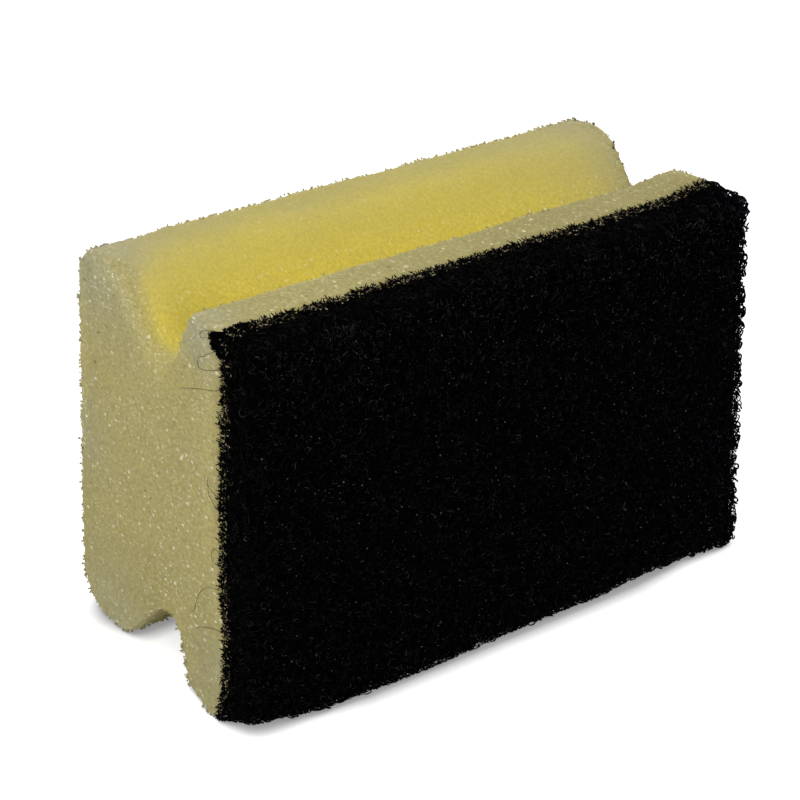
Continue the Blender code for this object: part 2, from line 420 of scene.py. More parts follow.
def lean(points):
    """Carry points of the square block over to the soft, slightly crooked one that stands on the floor."""
    x, y, z = points[..., 0], points[..., 1], points[..., 2]
    share = x / LENGTH + 0.5
    across = 2.0 * y / DEPTH
    up = 2.0 * z / HEIGHT - 1.0
    right = RIGHT_END_REACH + RIGHT_END_LEAN_BACK * across + RIGHT_END_LEAN_UP * up
    at_back = smooth_step(*LEFT_LEAN_BLEND, y)
    left = knot_value(LEFT_LEAN_FRONT, z) * (1.0 - at_back) + knot_value(LEFT_LEAN_BACK, z) * at_back
    left = left - bulge(y, z, *FOOT_SPREAD)
    flare = bulge(y, z, *RIDGE_FLARE) * held((share - RIDGE_FLARE_START) / (1.0 - RIDGE_FLARE_START)) ** 2
    foot = held((FOAM_LOW[1] - y) / PAD_FOOT_REACH) * held(-up) * knot_value(PAD_FOOT_LIFT, x)
    tip = held((PAD_TIP_BACK - y) / PAD_FOOT_REACH) * held(up) ** 2 * knot_value(PAD_TIP_LIFT, x)
    tip = tip * (PAD_TIP_FRONT + (1.0 - PAD_TIP_FRONT) * smooth_step(PAD_LOW[1], PAD_HIGH[1], y))
    moved_x = x + share * right + (1.0 - share) * left + flare
    moved_y = y + bulge(y, z, *HEEL_SPREAD)
    return np.stack([moved_x, moved_y, np.maximum(z + foot + tip, 0.0)], axis=-1)


def add_node(tree, kind, inputs=None, **settings):
    """Add a shader node; an input is given as a value or as the socket that feeds it."""
    node = tree.nodes.new(kind)
    for name, value in settings.items():
        setattr(node, name, value)
    for name, value in (inputs or {}).items():
        if isinstance(value, bpy.types.NodeSocket):
            tree.links.new(value, node.inputs[name])
        else:
            node.inputs[name].default_value = value
    return node


def colour_mix(tree, factor, first, second, blend="MIX"):
    """Mix two colours, each a tuple or a socket."""
    first, second = ((*colour, 1.0) if isinstance(colour, tuple) else colour for colour in (first, second))
    inputs = {0: factor, 6: first, 7: second}
    return add_node(tree, "ShaderNodeMix", inputs, data_type="RGBA", blend_type=blend).outputs[2]


def map_range(tree, value, start, end, low=0.0, high=1.0):
    """Map a value from the range between start and end to the one from low to high, held at its ends."""
    inputs = {"Value": value, "From Min": start, "From Max": end, "To Min": low, "To Max": high}
    return add_node(tree, "ShaderNodeMapRange", inputs).outputs[0]


def maths(tree, operation, first, second):
    """One arithmetic node."""
    return add_node(tree, "ShaderNodeMath", {0: first, 1: second}, operation=operation).outputs[0]


def new_material(name, roughness, shine):
    """A material with its nodes, its surface shader and the place on the object that its textures read."""
    material = bpy.data.materials.new(name)
    material.use_nodes = True
    tree = material.node_tree
    shader = tree.nodes["Principled BSDF"]
    shader.inputs["Roughness"].default_value = roughness
    shader.inputs["Specular IOR Level"].default_value = shine
    return material, tree, shader, add_node(tree, "ShaderNodeTexCoord").outputs["Object"]


def cells(tree, place, size, output="Distance"):
    """Random cells of a real size, as a distance from each cell's middle or a colour for each."""
    return add_node(tree, "ShaderNodeTexVoronoi", {"Vector": place, "Scale": 1.0 / size}).outputs[output]


def cloud(tree, place, size, detail=2.0):
    """Soft noise with features of a real size."""
    values = {"Vector": place, "Scale": 1.0 / size, "Detail": detail}
    return add_node(tree, "ShaderNodeTexNoise", values).outputs["Fac"]


def vertex_value(tree, name):
    """A value stored on the mesh's points."""
    return add_node(tree, "ShaderNodeAttribute", attribute_name=name).outputs["Fac"]


def specks(tree, place, spacing, radius, share, fading=0.0):
    """Sparse round specks, 1 inside and 0 outside, in the given share of the cells.

    With fading, most of them are fainter than that, by a random amount raised to this power.
    """
    near = cells(tree, place, spacing)
    chance = add_node(tree, "ShaderNodeSeparateColor", {"Color": cells(tree, place, spacing, "Color")})
    inside = map_range(tree, near, radius / spacing * 0.6, radius / spacing, 1.0, 0.0)
    chosen = maths(tree, "MULTIPLY", inside, maths(tree, "LESS_THAN", chance.outputs[0], share))
    if fading:
        chosen = maths(tree, "MULTIPLY", chosen, maths(tree, "POWER", chance.outputs[1], fading))
    return chosen


def foam_material(name, scatter):
    """Pale yellow open-cell foam, with a painted glow that deepens its colour where light comes back out of
    the foam.
    """
    material, tree, shader, place = new_material(name, 0.85, 0.20)
    shader.inputs["Subsurface Weight"].default_value = scatter
    shader.inputs["Subsurface Radius"].default_value = FOAM_GLOW_COLOURS
    shader.inputs["Subsurface Scale"].default_value = FOAM_GLOW_DEPTH
    place = add_node(tree, "ShaderNodeMapping", {"Vector": place, "Scale": CELL_STRETCH}).outputs["Vector"]
    patch_size, patch = PATCHES
    patch = map_range(tree, cloud(tree, place, patch_size), *WIDE_SPAN, -patch, patch)
    # Painted glow: deeper yellow where light comes back out of the foam in the grooves
    colour = colour_mix(tree, maths(tree, "ADD", vertex_value(tree, "painted_glow"), patch), FOAM_PALE, FOAM_GLOW_PAINT)
    colour = colour_mix(tree, vertex_value(tree, "grey"), colour, FOAM_GREY)
    pore_size, pore = PORES
    pores = map_range(tree, cells(tree, place, pore_size), 0.0, 0.75, pore, -pore)
    grain_size, grain = GRAIN
    grain = map_range(tree, cloud(tree, place, grain_size, 3.0), *WIDE_SPAN, -grain, grain)
    coarse = vertex_value(tree, "coarse")
    strength = map_range(tree, coarse, 0.0, 1.0, SMOOTH_SIDE_RELIEF, 1.0)
    tone = maths(tree, "ADD", maths(tree, "MULTIPLY", maths(tree, "ADD", pores, grain), strength), 1.0)
    both = maths(tree, "MULTIPLY", tone, vertex_value(tree, "tone"))
    grey = add_node(tree, "ShaderNodeCombineColor", {"Red": both, "Green": both, "Blue": both}).outputs[0]
    colour = colour_mix(tree, 1.0, colour, grey, "MULTIPLY")
    # Painted glints of cut cell walls, stronger on the cut faces
    for spacing, radius, share, low, high in GLINTS:
        glint = specks(tree, place, spacing, radius, share, GLINT_FADING)
        glint = maths(tree, "MULTIPLY", glint, map_range(tree, coarse, 0.0, 1.0, low, high))
        colour = colour_mix(tree, glint, colour, FOAM_GLINT)
    colour = colour_mix(tree, specks(tree, place, *DARK_SPECKS), colour, FOAM_DARK)
    tree.links.new(colour, shader.inputs["Base Color"])
    return material


def fibre_material():
    """Black stiff fibre, almost without shine, with a faint blue cast in patches at the right and foot."""
    material, tree, shader, place = new_material("black_fibre", 0.80, 0.02)
    spot = add_node(tree, "ShaderNodeSeparateXYZ", {"Vector": place})
    at_right = map_range(tree, spot.outputs["X"], *(share * LENGTH for share in BLUE_AT_RIGHT))
    at_foot = map_range(tree, spot.outputs["Z"], *(share * HEIGHT for share in BLUE_AT_FOOT), 0.7, 0.0)
    patch = map_range(tree, cloud(tree, place, 4.0 * MM), *NARROW_SPAN)
    blue = maths(tree, "MULTIPLY", maths(tree, "MAXIMUM", at_right, at_foot), patch)
    colour = colour_mix(tree, blue, PAD_BLACK, PAD_BLUE)
    colour = colour_mix(tree, vertex_value(tree, "shade"), colour, FIBRE_PALE)
    tree.links.new(colour, shader.inputs["Base Color"])
    return material


def felt_material():
    """The felt under the loose fibres, with foam colour where the bond has soaked in."""
    material, tree, shader, place = new_material("black_felt", 0.90, 0.01)
    ragged = map_range(tree, cloud(tree, place, 0.7 * MM, 3.0), *WIDE_SPAN, -0.4, 0.4)
    patches = map_range(tree, cloud(tree, place, 5.0 * MM, 1.0), *NARROW_SPAN, -0.7, 0.1)
    soaked = maths(tree, "ADD", vertex_value(tree, "soak"), maths(tree, "ADD", ragged, patches))
    colour = colour_mix(tree, map_range(tree, soaked, 0.55, 0.75), PAD_BLACK, SOAKED_FOAM)
    tree.links.new(colour, shader.inputs["Base Color"])
    return material


def clouded_material(name):
    """A material that changes in soft patches between two colours."""
    roughness, shine, size, detail, span, first, second = CLOUDED[name]
    material, tree, shader, place = new_material(name, roughness, shine)
    share = map_range(tree, cloud(tree, place, size, detail), *span)
    tree.links.new(colour_mix(tree, share, first, second), shader.inputs["Base Color"])
    return material


def add_object(name, data):
    """Put a mesh, a lamp or a camera into the scene."""
    item = bpy.data.objects.new(name, data)
    bpy.context.scene.collection.objects.link(item)
    return item


def new_piece(name, points, face_groups, material, values=None, bearings=None):
    """A smooth mesh piece from arrays of points and faces, riding on the part's one body.

    values are numbers stored on the points, and bearings the directions that they are shaded by.
    """
    mesh = bpy.data.meshes.new(name)
    corners = np.concatenate([group.ravel() for group in face_groups]).astype(np.int32)
    sizes = np.concatenate([np.full(len(group), group.shape[1]) for group in face_groups])
    starts = np.concatenate([[0], np.cumsum(sizes)[:-1]]).astype(np.int32)
    mesh.vertices.add(len(points))
    mesh.vertices.foreach_set("co", points.astype(np.float32).ravel())
    mesh.loops.add(len(corners))
    mesh.loops.foreach_set("vertex_index", corners)
    mesh.polygons.add(len(sizes))
    mesh.polygons.foreach_set("loop_start", starts)
    mesh.update(calc_edges=True)
    mesh.shade_smooth()
    for label, value in (values or {}).items():
        layer = mesh.attributes.new(label, "FLOAT", "POINT")
        layer.data.foreach_set("value", value.astype(np.float32))
    mesh.materials.append(material)
    if bearings is not None:
        mesh.normals_split_custom_set_from_vertices(bearings.tolist())
    piece = add_object(name, mesh)
    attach(piece, "root")
    return piece


def fillet_points(before, corner, after, radius):
    """Points of the arc that rounds one corner of an outline; a short leg gives it at most half."""
    into, out = before - corner, after - corner
    length_in, length_out = np.linalg.norm(into), np.linalg.norm(out)
    into, out = into / length_in, out / length_out
    half_angle = math.acos(float(into @ out)) / 2.0
    reach = min(radius / math.tan(half_angle), length_in / 2.0, length_out / 2.0)
    radius = reach * math.tan(half_angle)
    centre = corner + unit(into + out) * radius / math.sin(half_angle)
    start = corner + into * reach - centre
    turn = math.pi - 2.0 * half_angle
    if into[0] * out[1] - into[1] * out[0] > 0.0:
        turn = -turn
    angles = math.atan2(start[1], start[0]) + turn * np.linspace(0.0, 1.0, FILLET_STEPS + 1)
    return centre + radius * np.stack([np.cos(angles), np.sin(angles)], axis=-1)


def rounded_outline(corners):
    """Closed outline through (across, up, radius) corners."""
    points = np.array([corner[:2] for corner in corners])
    before, after = np.roll(points, 1, axis=0), np.roll(points, -1, axis=0)
    radii = [corner[2] for corner in corners]
    return np.concatenate([fillet_points(*legs) for legs in zip(before, points, after, radii)])


def even_outline(outline, step):
    """A closed clockwise outline at even steps, with the outward direction at each point."""
    closed = np.vstack([outline, outline[:1]])
    runs = np.linalg.norm(np.diff(closed, axis=0), axis=1)
    along = np.concatenate([[0.0], np.cumsum(runs)])
    count = int(round(along[-1] / step))
    wanted = np.arange(count) * along[-1] / count
    points = np.stack([np.interp(wanted, along, closed[:, axis]) for axis in (0, 1)], axis=-1)
    ahead = unit(np.roll(points, -1, axis=0) - np.roll(points, 1, axis=0))
    return points, np.stack([-ahead[:, 1], ahead[:, 0]], axis=-1)


def foam_section():
    """Clockwise (y, z) outline of the foam, from the top of the flange round to its foot."""
    floor_front = REAR + FLANGE_WALL_LEAN
    floor = HEIGHT - GROOVE_DEPTH
    upper = [
        (FOAM_LOW[1], HEIGHT, FLANGE_FRONT_FILLET),
        (REAR, HEIGHT, FLANGE_REAR_FILLET),
        (floor_front, floor, GROOVE_FRONT_FILLET),
        (floor_front + GROOVE_FLOOR, floor, GROOVE_REAR_FILLET),
        (REAR + GROOVE_MOUTH, HEIGHT, RIDGE_FILLET),
        (FOAM_HIGH[1], HEIGHT, RIDGE_FILLET),
    ]
    return rounded_outline(upper + [(y, HEIGHT - z, radius) for y, z, radius in reversed(upper)])


def bow(x):
    """How far the pad's long edges draw in at a place along them."""
    return PAD_EDGE_BOW * (2.0 * x / LENGTH) ** 2


def pad_outline():
    """Clockwise (x, z) outline of the pad at even steps, with outward directions."""
    half = LENGTH / 2.0
    corners = ((-half, HEIGHT), (half, HEIGHT), (half, 0.0), (-half, 0.0))
    points, outward = even_outline(rounded_outline([(x, z, PAD_CORNER_RADIUS) for x, z in corners]), PAD_GRID)
    points[:, 1] = bow(points[:, 0]) + points[:, 1] / HEIGHT * (HEIGHT - 2.0 * bow(points[:, 0]))
    return points, outward


PAD_OUTLINE, PAD_OUTWARD = pad_outline()


def inside_outline(spots, outline):
    """Which spots lie inside a closed outline."""
    ahead = np.roll(outline, -1, axis=0)
    height = spots[:, 1:2]
    crosses = (outline[:, 1] > height) != (ahead[:, 1] > height)
    rise = ahead[:, 1] - outline[:, 1]
    rise = np.where(rise == 0.0, 1.0, rise)
    meet = outline[:, 0] + (height - outline[:, 1]) / rise * (ahead[:, 0] - outline[:, 0])
    return (crosses & (spots[:, :1] < meet)).sum(axis=1) % 2 == 1


def fill_outline(outline, step, seed):
    """Cover a closed outline with triangles of even size.

    Returns the inner points and the triangles, which count the outline's own points first.
    """
    rng = np.random.default_rng(seed)
    low, high = outline.min(axis=0), outline.max(axis=0)
    across, up = np.meshgrid(np.arange(low[0], high[0], step), np.arange(low[1], high[1], step * 0.87))
    across[1::2] += step / 2.0
    spots = np.column_stack([across.ravel(), up.ravel()])
    spots = spots + rng.uniform(-0.22, 0.22, spots.shape) * step
    gap = np.linalg.norm(spots[:, None, :] - outline[None, :, :], axis=2).min(axis=1)
    spots = spots[inside_outline(spots, outline) & (gap > step * 0.55)]
    everything = [Vector(point) for point in np.concatenate([outline, spots]).tolist()]
    made = delaunay_2d_cdt(everything, [], [list(range(len(outline)))], 1, 1e-9)
    source = np.array([original[0] for original in made[3]])
    return spots, source[np.array(made[2])]


def face_outwards(points, normals, faces):
    """Turn round each face that looks against the outward direction of its corners."""
    corner = points[faces]
    facing = np.cross(corner[:, 1] - corner[:, 0], corner[:, 2] - corner[:, 0])
    wrong = (facing * normals[faces].sum(axis=1)).sum(axis=1) < 0.0
    turned = faces.copy()
    turned[wrong] = turned[wrong][:, ::-1]
    return turned


def closed_skin(stations, outward, axis, step, seed):
    """Skin a row of outlines that lie across one axis, and cover both ends with even triangles.

    Each station is a place on the axis, the outline there and the angle between the surface's outward
    direction and the axis. Returns the points, the outward direction at each, and the faces.
    """
    count, total = len(outward), len(stations)
    points, normals, caps = [], [], []
    for place, outline, angle in stations:
        points.append(np.insert(outline, axis, place, axis=1))
        along = math.copysign(math.cos(angle), place)
        normals.append(np.insert(outward * math.sin(angle), axis, along, axis=1))
    first = np.arange(total - 1)[:, None] * count + np.arange(count)
    after = np.arange(total - 1)[:, None] * count + (np.arange(count) + 1) % count
    sides = np.stack([first, after, after + count, first + count], axis=-1).reshape(-1, 4)
    base = total * count
    for end, (row, inner_row) in enumerate(((0, 1), (total - 1, total - 2))):
        place, outline, _ = stations[row]
        spots, faces = fill_outline(outline, step, seed + end)
        points.append(np.insert(spots, axis, place, axis=1))
        away = np.sign(place - stations[inner_row][0])
        normals.append(np.insert(np.zeros(spots.shape), axis, away, axis=1))
        caps.append(np.where(faces < count, faces + row * count, faces - count + base))
        base += len(spots)
    points, normals = np.concatenate(points), np.concatenate(normals)
    return points, normals, [face_outwards(points, normals, group) for group in (sides, np.concatenate(caps))]


def quarter_round(radius, steps):
    """Steps of a rounded edge from the flat end to the side, as (inset, back-off, angle)."""
    angles = np.linspace(0.0, math.pi / 2.0, steps + 1)
    return [(radius * (1.0 - math.sin(angle)), radius * (1.0 - math.cos(angle)), angle) for angle in angles]


def table_share(measures, name, *places):
    """The share from 0 to 1 that one entry of a foam table stands for."""
    if not places:
        return measures[name]
    if len(places) == 1:
        return bump(measures[name], places[0] * MM)
    return smooth_step(places[0] * MM, places[1] * MM, measures[name])


def table_amounts(table, measures):
    """What each line of a foam table comes to on the surface."""
    return [amount * np.prod([table_share(measures, *entry) for entry in entries], axis=0)
            for amount, *entries in table]


def foam_looks(points):
    """Colour values of the foam at points of the square block.

    The first is a painted glow where light comes back out of the foam, most in the finger grooves, grey
    marks a few duller stretches, tone is the overall level, with painted shade and painted light in places,
    and coarse is 1 on the cut ends, less on the flange's edge and 0 on the other sides.
    """
    x, y, z = points.T
    section, _ = even_outline(foam_section(), 1.2 * MM)
    groove = section[(section[:, 0] > REAR + 1.0 * MM) & (section[:, 0] < CROWN)]
    groove_gap = np.min([np.hypot(y - spot[0], z - spot[1]) for spot in groove], axis=0)
    from_left, from_right = x + LENGTH / 2.0, LENGTH / 2.0 - x
    depth = np.minimum(z, HEIGHT - z)
    on_end = 1.0 - smooth_step(0.5 * MM, 4.0 * MM, np.minimum(from_left, from_right))
    on_flange = (1.0 - smooth_step(REAR - 1.0 * MM, REAR + 2.0 * MM, y)) * (1.0 - on_end)
    # Painted glow of light that comes back out of the foam, most in the upper finger groove
    across = np.array(GLOW_ACROSS)
    glow = np.interp(y - REAR, across[:, 0] * MM, across[:, 1]) * (depth < GROOVE_DEPTH + 1.0 * MM)
    start = knot_value(GLOW_START, depth)
    glow = glow * smooth_step(start - GLOW_FADE, start + GLOW_FADE, from_left)
    glow = glow * smooth_step(*GLOW_RIGHT, from_right)
    glow = glow * (GLOW_BELOW + (1.0 - GLOW_BELOW) * smooth_step(0.35 * HEIGHT, 0.65 * HEIGHT, z))
    glow = glow * (1.0 - on_end * (1.0 - bump(groove_gap, GLOW_REACH)))
    halo = on_end * bump(groove_gap, HALO_REACH) * smooth_step(0.5 * HEIGHT, 0.8 * HEIGHT, z)
    spots = [(np.linalg.norm(points - np.array(middle) * MM, axis=1), reach * MM, amount)
             for middle, reach, amount in GREY_SPOTS]
    measures = {
        "x": x, "y": y, "z": z, "from_left": from_left, "depth": depth, "past_crown": y - CROWN,
        "on_end": on_end, "off_end": 1.0 - on_end, "on_flange": on_flange, "off_flange": 1.0 - on_flange,
        "on_flange_side": y < SIDES_MEET, "on_ridge_side": y > SIDES_MEET, "upper_half": z > HEIGHT / 2.0,
        "under_groove": (z < GROOVE_DEPTH + 1.0 * MM) & (y > REAR) & (y < CROWN),
    }
    return {
        "painted_glow": np.maximum(glow, HALO_GLOW_PAINT * halo),
        "grey": np.max([amount * bump(gap, reach) for gap, reach, amount in spots], axis=0),
        # tone carries the painted shade and painted light of TONES
        "tone": 1.0 + np.sum(table_amounts(TONES, measures), axis=0),
        "coarse": np.max(table_amounts(COARSENESS, measures), axis=0),
    }


def torn_share(normals):
    """How much torn cells stand out on the foam, from 0 on its best sides to 1 on the others."""
    return smooth_step(TORN_START, TORN_FULL, normals @ unit(np.array(TORN_WAY)))


def in_open_light(points):
    """1 in the open and less round the upper groove, whose edges look soft against the glow behind them."""
    x, y, z = points.T
    glowing = (y > REAR - 4.0 * MM) & (y < CROWN) & (z > 0.5 * HEIGHT)
    return 1.0 - (1.0 - TORN_IN_GROOVE) * glowing * smooth_step(42.0 * MM, 36.0 * MM, x)


def edge_slopes(points, normals):
    """The surface's true directions on the end edges, which are rounded more along X than across."""
    along, down = np.where(points[:, :1] < 0.0, LEFT_EDGE, RIGHT_EDGE).T
    return unit(normals / np.column_stack([along, down, down]))


def foam_bearings(points, normals):
    """Directions to shade the foam by: its edges look as soft as light leaves them in real foam."""
    section, section_outward = even_outline(foam_section(), FOAM_GRID)
    on_end = np.abs(normals[:, 0]) > 0.9
    gap = LENGTH / 2.0 - np.abs(points[:, 0])
    outward = unit(normals[:, 1:])
    spread = np.linalg.norm(points[on_end][:, None, 1:] - section, axis=2)
    gap[on_end] = np.maximum(spread.min(axis=1) - LEFT_EDGE[1], 0.0)
    outward[on_end] = section_outward[spread.argmin(axis=1)]
    raised = np.where(on_end, smooth_step(0.2 * HEIGHT, 0.6 * HEIGHT, points[:, 2]), 1.0)
    share = bump(gap, EDGE_BLEND) * raised
    endward = np.where(on_end, 1.0, share)
    sideward = np.where(on_end, share, 1.0)
    to_left = points[:, 0] < 0.0
    bearings = np.column_stack([-endward, outward * sideward[:, None]])
    flat_side = np.column_stack([np.zeros(len(points)), outward])
    bearings = unit(np.where(to_left[:, None], bearings, np.where(on_end[:, None], normals, flat_side)))
    lit = bump(bearings @ unit(np.array(TORN_WAY)) - LIT_MIDDLE, LIT_WIDTH)
    return unit(bearings + np.array(LIT_WAY) * lit[:, None])


def build_foam(material, torn_material):
    """The foam block: one closed skin with the relief of cut cells, and the lumps that stand on it."""
    rng = np.random.default_rng(11)
    outline, outward = even_outline(foam_section(), FOAM_GRID)
    half = LENGTH / 2.0
    rows = int(round((LENGTH - LEFT_EDGE[0] - RIGHT_EDGE[0]) / FOAM_GRID))
    middle = [(x, 0.0, math.pi / 2.0) for x in np.linspace(half - RIGHT_EDGE[0], LEFT_EDGE[0] - half, rows)]
    right, left = ([(half - back_off * along, inset * down, angle) for inset, back_off, angle
                    in quarter_round(1.0, END_EDGE_STEPS)] for along, down in (RIGHT_EDGE, LEFT_EDGE))
    places = right + middle[1:-1] + [(-x, inset, angle) for x, inset, angle in reversed(left)]
    stations = [(x, outline - outward * inset, angle) for x, inset, angle in places]
    points, normals, faces = closed_skin(stations, outward, 0, FOAM_GRID, 21)
    cell = rng.uniform(-1.0, 1.0, len(points))
    columns = cell[:len(stations) * len(outline)].reshape(len(stations), len(outline))
    columns[:END_EDGE_STEPS + 1] = columns[END_EDGE_STEPS + 1]
    columns[-END_EDGE_STEPS:] = columns[-END_EDGE_STEPS - 1]
    slopes = edge_slopes(points, normals)
    share = torn_share(slopes) * in_open_light(points)
    torn = share * np.where(points[:, 0] > RIGHT_END, RIGHT_END_TORN, 1.0)
    relief = cell * (CELL_RELIEF + torn * TORN_RELIEF[0]) + waves(points, *TORN_WAVE) * torn * TORN_RELIEF[1]
    relief = relief + sum(waves(points, length, seed) * height for length, seed, height in FOAM_SWELLS)
    relief = relief - FOAM_SINK - torn_share(normals) * TORN_SINK
    shaped = points + normals * relief[:, None]
    from_edge = np.minimum(half - np.abs(points[:, 0]), np.minimum(points[:, 2], HEIGHT - points[:, 2]))
    at_front = points[:, 1] < FOAM_LOW[1] + 1.0 * MM
    shaped[:, 1] -= LIP_REACH * at_front * smooth_step(*LIP_FADE, from_edge)
    looks = foam_looks(points)
    bearings = foam_bearings(points, normals)
    rough = unit(bearings + rng.normal(0.0, FOAM_ROUGH, points.shape))
    foam = new_piece("foam_block", lean(shaped), faces, material, looks, rough)
    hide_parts("foam_body")
    for number in range(TORN_LAYERS):
        build_torn_cells(number, torn_material, shaped, FEWEST_TORN + share, slopes, bearings, looks)


def build_torn_cells(number, material, places, weights, normals, bearings, looks):
    """One layer of the cut cells' rough ends: small closed lumps that sit on the foam.

    They stand in the open, away from the bond and off the floor, and most where the weights are high.
    """
    rng = np.random.default_rng(600 + number)
    count, sides = TORN_CELLS, TORN_CELL_SIDES
    free = np.flatnonzero((places[:, 1] > FOAM_LOW[1] + 0.3 * MM) & (places[:, 2] > 0.3 * MM))
    chosen = rng.choice(free, count, p=weights[free] / weights[free].sum())
    up = normals[chosen]
    along = unit(np.cross(up, rng.normal(size=(count, 3))))
    beside = np.cross(up, along)
    jitter = rng.normal(0.0, TORN_CELL_STRAY, (count, 2))
    middle = places[chosen] + along * jitter[:, :1] + beside * jitter[:, 1:]
    turns = rng.uniform(-TORN_CELL_TURN, TORN_CELL_TURN, (count, sides))
    turns = np.arange(sides) * 2.0 * math.pi / sides + turns
    ways = np.cos(turns)[:, :, None] * along[:, None, :] + np.sin(turns)[:, :, None] * beside[:, None, :]
    reach = rng.uniform(*TORN_CELL_WIDTH, (count, 1, 1)) * rng.uniform(*TORN_CELL_UNEVEN, (count, sides, 1))
    height = rng.uniform(*TORN_CELL_RISE, (count, 1))
    ring = middle[:, None, :] + ways * reach + up[:, None, :] * height[:, None, :] * 0.5
    top, root = middle + up * height, middle - up * TORN_CELL_ROOT
    lumps = np.concatenate([ring, top[:, None, :], root[:, None, :]], axis=1)
    here, after = np.arange(sides), (np.arange(sides) + 1) % sides
    cap = np.column_stack([here, after, np.full(sides, sides)])
    base = np.column_stack([after, here, np.full(sides, sides + 1)])
    each = sides + 2
    faces = np.concatenate([cap, base]) + np.arange(count)[:, None, None] * each
    bearing = bearings[chosen][:, None, :]
    facing = unit(np.concatenate([bearing + TORN_CELL_BEND * ways, bearing, bearing], axis=1)).reshape(-1, 3)
    values = {label: np.repeat(value[chosen], each) for label, value in looks.items()}
    # Tone raised at random, partly painted light over the lumps' own shade
    values["tone"] = values["tone"] * np.repeat(rng.uniform(*TORN_CELL_TONE, count), each)
    piece = new_piece(f"torn_cells_{number + 1}", lean(lumps.reshape(-1, 3)), [faces.reshape(-1, 3)],
                      material, values, facing)
    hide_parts("foam_body")


def tubes(paths, radii, across):
    """Points and faces of many thin closed three-sided tubes.

    paths is (tubes, steps, 3), radii (tubes, steps), and across a direction for each tube that its
    run never follows.
    """
    count, steps = radii.shape
    ahead = unit(np.gradient(paths, axis=1))
    side = unit(np.cross(ahead, across[:, None, :]))
    other = np.cross(ahead, side)
    turns = np.arange(3) * 2.0 * math.pi / 3.0
    rings = np.cos(turns)[:, None] * side[:, :, None, :] + np.sin(turns)[:, None] * other[:, :, None, :]
    points = paths[:, :, None, :] + radii[:, :, None, None] * rings
    start = (np.arange(count)[:, None, None] * steps + np.arange(steps - 1)[None, :, None]) * 3
    here = start + np.arange(3)
    after = start + (np.arange(3) + 1) % 3
    quads = np.stack([here, after, after + 3, here + 3], axis=-1).reshape(-1, 4)
    first = np.arange(count)[:, None] * steps * 3 + np.arange(3)
    last = first + (steps - 1) * 3
    return points.reshape(-1, 3), quads, np.concatenate([first[:, ::-1], last])


def pad_edge_distance(x, z):
    """Distance inwards from the pad's outline."""
    straight_z = (z - bow(x)) / (HEIGHT - 2.0 * bow(x)) * HEIGHT
    gap_x = np.abs(x) - (LENGTH / 2.0 - PAD_CORNER_RADIUS)
    gap_z = np.abs(straight_z - HEIGHT / 2.0) - (HEIGHT / 2.0 - PAD_CORNER_RADIUS)
    outside = np.hypot(np.maximum(gap_x, 0.0), np.maximum(gap_z, 0.0))
    return PAD_CORNER_RADIUS - outside - np.minimum(np.maximum(gap_x, gap_z), 0.0)


def rim_drop(inside):
    """How far the pad's rounded rim falls away at a distance inside its edge."""
    inside = np.clip(inside, 0.0, PAD_FRONT_RIM)
    return PAD_FRONT_RIM - np.sqrt(PAD_FRONT_RIM ** 2 - (PAD_FRONT_RIM - inside) ** 2)


def face_place(x, z, height):
    """A point at a height over the pad's front face, which rolls off into its rim."""
    return np.stack([x, PAD_LOW[1] + rim_drop(pad_edge_distance(x, z)) - height, z], axis=-1)


def outline_index(along):
    """Which point of the pad's outline comes before a place that is counted in outline steps."""
    return np.floor(along).astype(int) % len(PAD_OUTLINE)


def side_place(start, along, y, height):
    """A point over the pad's narrow side, some way along its outline from a start in outline steps.

    Behind the pad it goes on over the foam, where the long edges are straight.
    """
    along = start[:, None] + along / PAD_GRID
    low = outline_index(along)
    high = (low + 1) % len(PAD_OUTLINE)
    share = (along - np.floor(along))[..., None]
    spot, way = (table[low] * (1.0 - share) + table[high] * share for table in (PAD_OUTLINE, PAD_OUTWARD))
    flat = spot + way * (height - rim_drop(y - PAD_LOW[1]))[..., None]
    behind = smooth_step(PAD_HIGH[1] - 1.0 * MM, PAD_HIGH[1] + 1.0 * MM, y)
    z = flat[..., 1] + np.sign(flat[..., 1] - HEIGHT / 2.0) * bow(flat[..., 0]) * behind
    return np.stack([flat[..., 0], y, z], axis=-1)


def side_facing(along):
    """The outward direction of the pad's narrow side at places along its outline."""
    return np.insert(PAD_OUTWARD[outline_index(along)], 1, 0.0, axis=1)


def bent(rng, heading, steps, bend, wander):
    """Headings of fibres at each step: each keeps turning one way, at most bend a step, and wanders."""
    turn = rng.uniform(-bend, bend, heading.shape) + rng.normal(0.0, wander, (len(heading), steps))
    return heading + np.cumsum(turn, axis=1)


def followed(heading, step):
    """Places along and across that fibres reach when they follow their headings."""
    return np.cumsum(np.cos(heading), axis=1) * step, np.cumsum(np.sin(heading), axis=1) * step


def curls(rng, count, steps, step, heights):
    """Random curly runs on a flat strip, as (count, steps) places along, across and over it.

    Each wanders between two heights.
    """
    heading = bent(rng, rng.uniform(0.0, 2.0 * math.pi, (count, 1)), steps, CURL_BEND, CURL_BEND * 0.35)
    phase = rng.uniform(0.0, 2.0 * math.pi, (count, 1)) + np.arange(steps) * rng.uniform(0.5, 1.4, (count, 1))
    low, high = heights
    over = (low + high) / 2.0 + (high - low) / 2.0 * np.sin(phase)
    return *(run - run[:, :1] for run in followed(heading, step)), over


def add_fibres(name, paths, radii, across, material, shade):
    """One piece of many fibres, as tubes, that stands for the pad's solid."""
    points, quads, caps = tubes(lean(paths), radii, across)
    values = {"shade": np.repeat(shade, radii.shape[1] * 3)}
    piece = new_piece(name, points, [quads, caps], material, values)
    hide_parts("scouring_pad")


